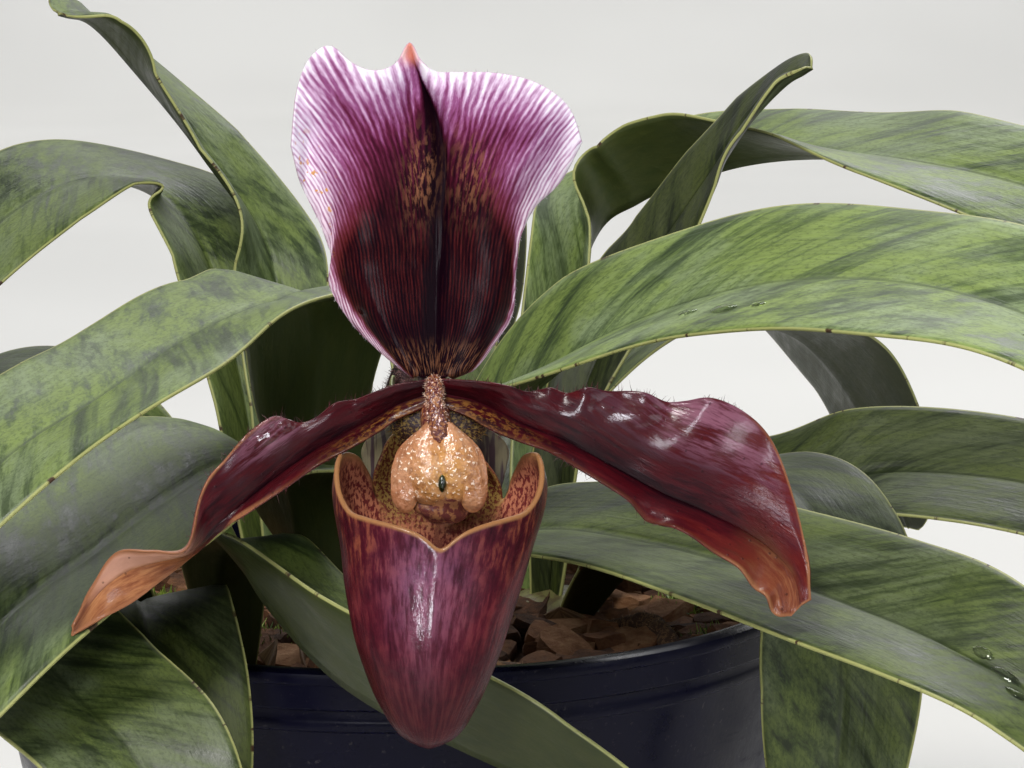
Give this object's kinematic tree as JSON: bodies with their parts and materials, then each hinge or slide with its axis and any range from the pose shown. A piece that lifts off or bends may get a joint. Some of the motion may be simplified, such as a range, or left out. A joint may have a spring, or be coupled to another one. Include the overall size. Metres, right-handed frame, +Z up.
{
  "type": "potted slipper orchid",
  "caption": "Slipper orchid in bloom in a dark plastic nursery pot: white-edged upright sepal, drooping wine-red petals, hollow pouch, arching strap leaves, bark mix.",
  "frame": {"origin": "middle of the pot's underside, on the table", "axes": "+Z up, -Y the way the bloom faces, +X to the viewer's right"},
  "size_m": [0.2932, 0.3307, 0.2282],
  "materials": {
    "pot_plastic": "near-black blue plastic, satin gloss, lightly scuffed",
    "bark": "chunky brown bark pieces, matt",
    "crown": "pale green-brown living tissue, slightly hairy roots",
    "leaf": "mottled green blade with a thin pale margin, satin",
    "stem": "dark purple-green, finely hairy",
    "dorsal": "white edge, purple stripes, dark wine middle, satin",
    "petal": "waxy wine red, gold and brown specks at the foot, tan tip",
    "synsepal": "pale olive with dark stripes",
    "pouch": "waxy wine purple with a tan rim and brown veins",
    "column": "golden tan, wet-looking and finely warty, green boss",
    "bract": "pale green with purple specks"
  },
  "bodies": {
    "root": {"pot": "pot_plastic", "bark_mix": "bark", "rhizome_and_roots": "crown", "leaf_right_upper": "leaf", "leaf_right_lower": "leaf", "leaf_left_upper": "leaf", "leaf_left_lower": "leaf", "leaf_front_left": "leaf", "leaf_front_hang": "leaf", "leaf_front_low": "leaf", "leaf_right_hang": "leaf", "leaf_right_mid": "leaf", "leaf_right_back": "leaf", "leaf_right_tall": "leaf", "leaf_right_low": "leaf", "leaf_back_tall": "leaf", "leaf_back_left": "leaf", "leaf_back_far": "leaf", "leaf_back_low": "leaf", "flower_stem": "stem", "dorsal_sepal": "dorsal", "petal_right": "petal", "petal_left": "petal", "synsepal": "synsepal", "pouch": "pouch", "column": "column", "ovary": "stem", "bract": "bract"}
  },
  "joints": []
}
